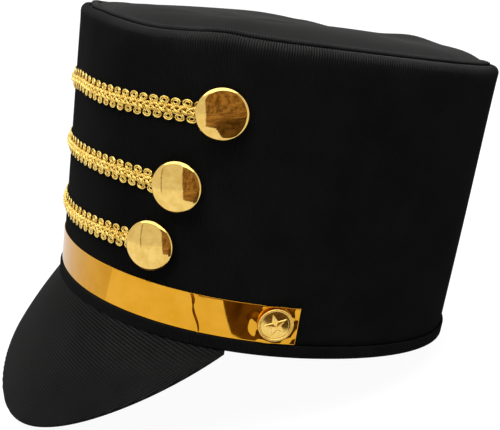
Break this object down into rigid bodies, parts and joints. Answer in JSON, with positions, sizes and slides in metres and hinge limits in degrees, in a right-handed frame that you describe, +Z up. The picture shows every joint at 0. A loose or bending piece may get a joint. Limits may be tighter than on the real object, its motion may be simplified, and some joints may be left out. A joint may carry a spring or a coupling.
{
  "type": "shako hat",
  "caption": "Tall black cloth parade hat with a puffed flat top, steep peak, gold band, gimp braids across the front, domed buttons and star buttons.",
  "frame": {"origin": "on the surface the hat rests on, under the middle of its bounding box", "axes": "+Z up, -Y toward the front of the hat, +X toward the wearer's left; the hat rests tipped back on its peak and the back of its rim"},
  "size_m": [0.1914, 0.26, 0.1775],
  "materials": {
    "ribbed_cloth": "black ribbed cloth, dull, fine upright ribs",
    "peak_cloth": "black ribbed cloth over a stiff peak, ribs from side to side",
    "satin_cloth": "black cloth with a soft satin sheen",
    "gold_film": "mirror-bright gold metallised film",
    "gold_metal": "polished pale gold plated metal",
    "gold_gimp": "gold metallic cord, plaited and looped"
  },
  "bodies": {
    "root": {"crown_wall": "ribbed_cloth", "crown_tip": "satin_cloth", "hem_band": "ribbed_cloth", "peak": "peak_cloth", "gold_band": "gold_film", "braid_top": "gold_gimp", "braid_middle": "gold_gimp", "braid_bottom": "gold_gimp", "button_top_left": "gold_metal", "button_top_right": "gold_metal", "button_middle_left": "gold_metal", "button_middle_right": "gold_metal", "button_bottom_left": "gold_metal", "button_bottom_right": "gold_metal", "star_button_left": "gold_metal", "star_button_right": "gold_metal"}
  },
  "joints": []
}
